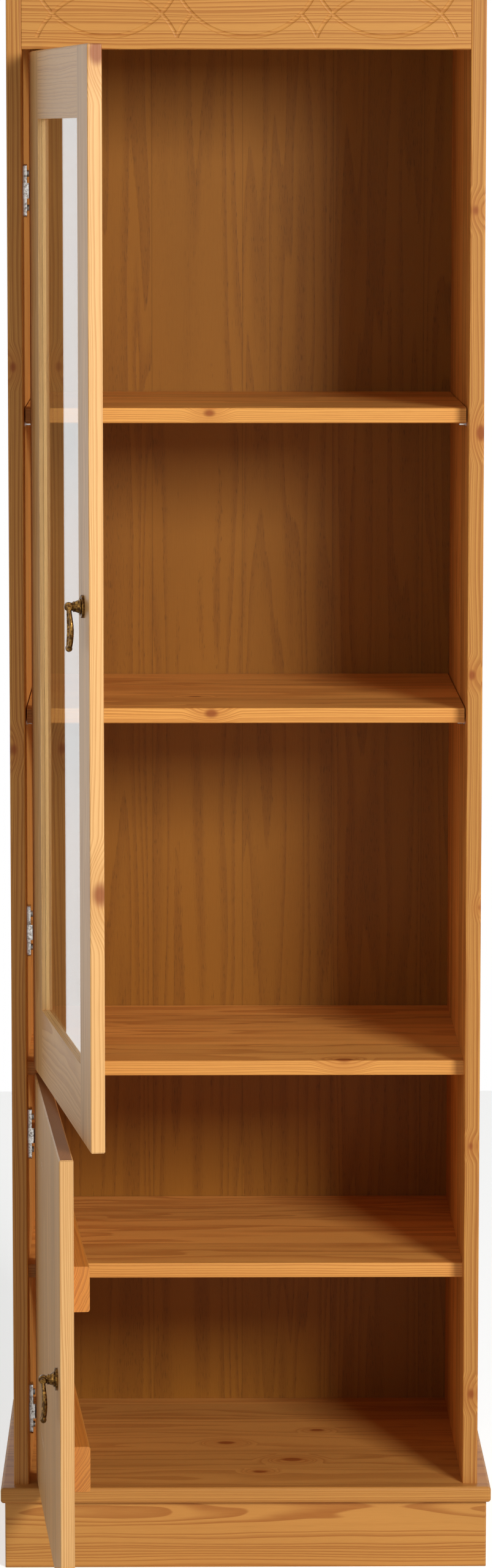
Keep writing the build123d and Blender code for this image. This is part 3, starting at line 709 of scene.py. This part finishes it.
@dataclass
class DropHandle:
    """One drop handle. Sizes are in millimetres and local to the knuckle: X along the door, Y into it.

    Each rose step is the width of a ring, from the rim inwards, and how far it sinks towards the door.
    """

    door: str
    bail_body: str
    place: Matrix
    rose_radius: float = 12.5
    rose_thickness: float = 3.0
    rose_steps: tuple[tuple[float, float], ...] = ((1.3, 0.0), (0.6, 0.7), (1.5, 0.0), (0.5, -0.5))
    post_length: float = 13.0
    post_radius: float = 8.0
    neck_radius: float = 4.2
    post_beads: tuple[Ring, ...] = (Ring(7.6, 1.1, 12.2), Ring(5.0, 0.9, 5.4))
    knuckle_radius: float = 5.0
    knuckle_width: float = 7.0
    wire_radius: float = 2.4
    half_width: float = 10.5
    bow: float = 1.6
    belly_share: float = 0.6
    limb: float = 6.1
    limb_drop: float = 1.0
    drop: float = 45.8
    limb_girth: float = 0.8
    belly_girth: float = 1.05
    bottom_girth: float = 1.1
    eye_radius: float = 3.3
    eye_length: float = 4.4
    collars: tuple[Ring, ...] = (Ring(3.0, 1.2, 5.4), Ring(3.4, 1.0, 3.6))
    collar_rise: float = 0.1
    bulb_radius: float = 3.6

    def settle(self, piece: bpy.types.Object) -> None:
        """Moves a finished piece to its door and applies the transform.

        Args:
            piece: the piece, modelled at the world's origin.
        """
        activate(piece)
        piece.matrix_world = self.place
        apply_place()

    def rose(self) -> bpy.types.Object:
        """Models the round rose with its raised rim and stepped middle.

        Returns:
            The rose.
        """
        disc = started(
            bpy.ops.mesh.primitive_cylinder_add, vertices=72, radius=self.rose_radius * MM,
            depth=self.rose_thickness * MM, rotation=FACING_OUT,
            location=(0, (self.post_length + self.rose_thickness / 2) * MM, 0),
        )  # fmt: skip
        pick_end(disc, Vector((0, -1, 0)))
        for width, sink in self.rose_steps:
            bpy.ops.mesh.inset(thickness=width * MM)
            bpy.ops.transform.translate(value=(0, sink * MM, 0))
        bpy.ops.object.mode_set(mode="OBJECT")
        return bevelled(disc, width=0.3)

    def post(self) -> bpy.types.Object:
        """Models the conical post with its two beads and the knuckle that holds the pin.

        Returns:
            The post.
        """
        length = self.post_length - self.knuckle_radius / 2
        parts = [started(
            bpy.ops.mesh.primitive_cone_add, vertices=64, radius1=self.post_radius * MM,
            radius2=self.neck_radius * MM, depth=length * MM, rotation=FACING_OUT,
            location=(0, (self.post_length - length / 2) * MM, 0),
        )]  # fmt: skip
        parts += [started(
            bpy.ops.mesh.primitive_torus_add, major_radius=bead.radius * MM, minor_radius=bead.size * MM,
            major_segments=64, minor_segments=16, location=(0, bead.place * MM, 0), rotation=FACING_OUT,
        ) for bead in self.post_beads]  # fmt: skip
        knuckle = cross_rod(self.knuckle_radius, self.knuckle_width, (0, 0, 0), sides=56)
        parts.append(bevelled(knuckle, width=0.8))
        return joined(f"{self.door}_post_part", parts)

    def wire(self) -> bpy.types.Object:
        """Bends the loop of the bail, thin at the eyes and full at the belly.

        Returns:
            The loop.
        """
        deselect()
        bpy.ops.curve.primitive_bezier_curve_add()
        curve = bpy.context.object.data
        curve.dimensions = "3D"
        curve.bevel_depth = self.wire_radius * MM
        curve.bevel_resolution = 6
        curve.resolution_u = 24
        curve.use_fill_caps = True
        belly = -self.drop * self.belly_share
        stops = (
            (-self.limb, 0.0, -self.limb_drop, self.limb_girth),
            (-self.half_width, self.bow, belly, self.belly_girth),
            (0.0, 0.0, -self.drop, self.bottom_girth),
            (self.half_width, self.bow, belly, self.belly_girth),
            (self.limb, 0.0, -self.limb_drop, self.limb_girth),
        )
        points = curve.splines[0].bezier_points
        points.add(len(stops) - len(points))
        for point, (x, y, z, girth) in zip(points, stops):
            point.co = (x * MM, y * MM, z * MM)
            point.radius = girth
            point.handle_left_type = point.handle_right_type = "AUTO"
        bpy.ops.object.convert(target="MESH")
        return bpy.context.object

    def bail(self) -> bpy.types.Object:
        """Models the hanging bail: a tapered wire loop with eyes, collars and a bulb.

        Returns:
            The bail.
        """
        parts = [self.wire()]
        for side in (-1, 1):
            eye = cross_rod(self.eye_radius, self.eye_length, (side * self.limb, 0, 0))
            parts.append(bevelled(eye, width=0.7))
            for collar in self.collars:
                centre = (side * collar.place, 0, -self.drop + collar.place * self.collar_rise)
                rod = cross_rod(collar.radius, collar.size, centre)
                parts.append(bevelled(rod, width=0.3, segments=2))
        parts.append(started(
            bpy.ops.mesh.primitive_uv_sphere_add, segments=40, ring_count=24, radius=self.bulb_radius * MM,
            location=(0, 0, -self.drop * MM),
        ))  # fmt: skip
        return joined(f"{self.door}_bail_detail", parts)

    def build(self, brass: bpy.types.Material) -> None:
        """Models the handle, sets it on its door and lets it ride there.

        Args:
            brass: its finish.
        """
        fixed = joined(f"{self.door}_handle_detail", [self.rose(), self.post()])
        bail = self.bail()
        for piece, body in ((fixed, self.door), (bail, self.bail_body)):
            self.settle(piece)
            piece.data.materials.clear()
            piece.data.materials.append(brass)
            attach(piece, body)
        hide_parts(f"{self.door}_handle_rose", f"{self.door}_handle_post")
        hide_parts(f"{self.door}_handle_bail")
        LOG.info("built the drop handle of %s", self.door)


@dataclass
class Carcase:
    """The fixed wooden body: side boards, plates, shelves, back, frieze and plinth."""

    frame: dict

    def dress(self) -> None:
        """Gives every board its wood, with the grain along the board."""
        # Oiled pine is warm yellow with brown late lines and shows its glued staves. The oak back is darker,
        # with finer and straighter lines and short open pores.
        upright = WoodFinish(
            "pine_upright", PINE, Direction.Z, Direction.Y, stave=74.0, tone=0.95, knots=SIDE_EDGE_KNOTS
        )
        shelves = WoodFinish(
            "pine_shelves", PINE, Direction.X, Direction.Y, stave=68.0, contrast=0.6, knots=SHELF_KNOTS
        )
        plates = WoodFinish(
            "pine_plates", PINE, Direction.X, Direction.Y, stave=76.0, contrast=0.5, tone=0.8,
            knots=BASE_KNOTS,
        )  # fmt: skip
        fronts = WoodFinish("pine_fronts", PINE, Direction.X, Direction.Z, stave=240.0, ring=3.8, tone=0.76)
        ends = WoodFinish("pine_plinth_sides", PINE, Direction.Y, Direction.Z, stave=240.0)
        blocks = WoodFinish("pine_blocks", PINE, Direction.Z, Direction.X, stave=400.0)
        oak = WoodFinish(
            "oak_back", OAK, Direction.Z, Direction.X, stave=113.0, ring=2.3, contrast=0.34, tone_spread=0.04,
            wander=15.0, stretch=0.05, heart_depth=16.0, pores=0.3, roughness=0.5,
        )  # fmt: skip
        for wood, names in (
            (upright, ("side_panel_left", "side_panel_right")),
            (shelves, ("shelf_low", "shelf_fixed", "shelf_middle", "shelf_high")),
            (plates, ("base_plate", "top_plate")),
            (fronts, ("frieze_board", "plinth_front", "plinth_back")),
            (ends, ("plinth_side_left", "plinth_side_right")),
            (blocks, ("plinth_corner_blocks", "carcase_dowels")),
            (oak, ("back_panel",)),
        ):
            give(self.frame, names, wood.build())
        LOG.info("dressed the carcase")


def swing_of(bail_hinge: dict) -> float:
    """Reads how far a door stands open from the axis of the handle that rides on it.

    Args:
        bail_hinge: the joint of the handle's bail.

    Returns:
        The swing, in radians.
    """
    return math.atan2(bail_hinge["axis"][1], -bail_hinge["axis"][0])


@dataclass
class Door:
    """A hinged door: the nodes of each grain direction and how its boards are cut."""

    frame: dict
    body: str
    upright_nodes: tuple[str, ...]
    lying_nodes: tuple[str, ...]
    stave: float
    lying_colours: WoodColours

    def dress(self) -> None:
        """Gives the door's boards their wood, with the grain turned as far as the door is swung."""
        # The doors' pine is paler than the carcase's and has a thin lacquer, which shines a little more.
        joints = self.frame["joints"]
        door_hinge = next(joint for joint in joints if joint["child"] == self.body)
        bail_hinge = next(joint for joint in joints if joint["parent"] == self.body)
        pivot = tuple(value / MM for value in door_hinge["pos_m"][:2])
        shared = {"turn": swing_of(bail_hinge), "pivot": pivot, "contrast": 0.6}
        shared |= {"coat": 0.05, "shine": 0.35, "roughness": 0.4}
        upright = WoodFinish(
            f"{self.body}_upright", DOOR_PINE, Direction.Z, Direction.X, stave=self.stave, ring=3.0,
            tone=0.95, knots=STILE_KNOTS, **shared,
        )  # fmt: skip
        lying = WoodFinish(
            f"{self.body}_lying", self.lying_colours, Direction.X, Direction.Z, stave=190.0, **shared
        )
        give(self.frame, self.upright_nodes, upright.build())
        give(self.frame, self.lying_nodes, lying.build())
        LOG.info("dressed %s", self.body)


@dataclass
class Fittings:
    """Hinges, screws, pins, handles and the glass."""

    frame: dict

    def ending(self, *endings: str) -> list[str]:
        """Lists the CAD nodes whose names end in one of some words.

        Args:
            endings: the words.

        Returns:
            The names, in order.
        """
        return [name for name in sorted(self.frame["nodes"]) if name.endswith(endings)]

    def dress(self) -> None:
        """Gives the metal fittings and the glass their finishes and builds the handles."""
        # Nickel-plated pressed steel is near a mirror, with painted dark reflections in its cloudy patches,
        # zinc-plated screws are duller, and antiqued brass is brown in its patches and yellow where hands rub
        # it.
        nickel = MetalFinish("nickel", "#DAD5CE", "#8F867D", 0.12, patch_level=0.55).build()
        zinc = MetalFinish("zinc", "#C4C1B8", "#9C988E", 0.34).build()
        brass = MetalFinish("antique_brass", "#9A7238", "#4A3018", 0.26, patch_level=0.48, cloud=0.3).build()
        hinges = [name for name in self.ending("_plate", "_arm", "_cup") if "_hinge_" in name]
        give(self.frame, [*hinges, "shelf_pins"], nickel)
        give(self.frame, self.ending("screws", "nails", "hinge_pins", "handle_screw"), zinc)
        give(self.frame, self.ending("_rose", "_post", "_bail", "_handle_pin"), brass)
        give(self.frame, ["upper_door_glass"], GlassFinish("clear_glass").build())
        for joint in self.frame["joints"]:
            if joint["name"].endswith("bail_hinge"):
                turn = Matrix.Rotation(-swing_of(joint), 4, "Z")
                place = Matrix.Translation(Vector(joint["pos_m"])) @ turn
                DropHandle(joint["parent"], joint["child"], place).build(brass)


@dataclass(frozen=True)
class Lamp:
    """A soft square lamp: where it is and points, its side in metres and its power in watts."""

    name: str
    place: tuple[float, float, float]
    target: tuple[float, float, float]
    size: float
    power: float

    def hang(self) -> None:
        """Adds the lamp to the scene."""
        data = bpy.data.lights.new(self.name, "AREA")
        data.size = self.size
        data.energy = self.power
        lamp = bpy.data.objects.new(self.name, data)
        bpy.context.scene.collection.objects.link(lamp)
        lamp.location = self.place
        ahead = Vector(self.target) - Vector(self.place)
        lamp.rotation_euler = ahead.to_track_quat("-Z", "Y").to_euler()


@dataclass
class Studio:
    """Camera, light, floor and white surroundings. Places are in metres and angles in radians."""

    place: tuple[float, float, float] = (-0.06791, -5.81935, 1.70566)
    yaw: float = 0.01165
    pitch: float = 0.12931
    roll: float = -0.00048
    lens: float = 114.11
    sensor: float = 36.0
    furthest_seen: float = 50.0
    floor_size: float = 6.0
    surround_strength: float = 0.2
    lamps: tuple[Lamp, ...] = (
        Lamp("key_light", (2.2, -4.1, 2.5), (0.0, 0.0, 0.95), 1.2, 185.0),
        Lamp("fill_light", (-2.6, -3.4, 1.6), (0.0, 0.0, 1.1), 2.0, 15.0),
    )

    def camera(self) -> None:
        """Sets the camera where the photo was taken from."""
        data = bpy.data.cameras.new("photo_camera")
        data.lens = self.lens
        data.sensor_fit = "VERTICAL"
        data.sensor_height = self.sensor
        data.clip_end = self.furthest_seen
        camera = bpy.data.objects.new("photo_camera", data)
        bpy.context.scene.collection.objects.link(camera)
        right = Vector((math.cos(self.yaw), -math.sin(self.yaw), 0.0))
        forward = Vector((math.sin(self.yaw), math.cos(self.yaw), 0.0))
        ahead = forward * math.cos(self.pitch) - Vector((0.0, 0.0, math.sin(self.pitch)))
        level = Matrix((right, right.cross(ahead), -ahead)).transposed()
        turn = Matrix.Rotation(-self.roll, 3, "Z")
        camera.matrix_world = Matrix.Translation(self.place) @ (level @ turn).to_4x4()
        bpy.context.scene.camera = camera

    def surroundings(self) -> None:
        """Makes the surroundings white to the camera, in gloss and through glass, and softer as a light."""
        world = bpy.data.worlds.new("white_surroundings")
        add = NodeBench(world).add
        path = add("LightPath").node.outputs
        seen = {0: path["Is Camera Ray"], 1: path["Is Glossy Ray"]}
        seen = {0: add("Math", seen, operation="MAXIMUM"), 1: path["Is Transmission Ray"]}
        soft = add("Background", {"Color": srgb(WHITE), "Strength": self.surround_strength})
        bright = add("Background", {"Color": srgb(WHITE)})
        mixed = add("MixShader", {0: add("Math", seen, operation="MAXIMUM"), 1: soft, 2: bright})
        add("OutputWorld", {0: mixed})
        bpy.context.scene.world = world

    def build(self) -> None:
        """Builds the studio round the cabinet."""
        self.camera()
        self.surroundings()
        for lamp in self.lamps:
            lamp.hang()
        deselect()
        bpy.ops.mesh.primitive_plane_add(size=self.floor_size)
        floor = bpy.context.object
        floor.name = "studio_floor"
        floor.data.materials.append(PaperFinish("floor_white", "#F6F6F5").build())
        bpy.context.scene.view_settings.view_transform = "Standard"
        LOG.info("built the studio")


def main() -> None:
    """Loads the frame, dresses every sub-assembly and sets up the studio."""
    logging.basicConfig(level=logging.INFO, format="%(name)s: %(message)s")
    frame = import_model()
    Carcase(frame).dress()
    sides = ("upper_door_hinge_stile", "upper_door_free_stile", "glazing_bead_left", "glazing_bead_right")
    rails = ("upper_door_top_rail", "upper_door_bottom_rail", "glazing_bead_top", "glazing_bead_bottom")
    battens = ("lower_door_batten_bottom", "lower_door_batten_top")
    Door(frame, "upper_door", sides, rails, 42.0, DOOR_PINE).dress()
    Door(frame, "lower_door", ("lower_door_board",), battens, 86.0, BATTEN_PINE).dress()
    Fittings(frame).dress()
    Studio().build()


if __name__ == "__main__":
    main()
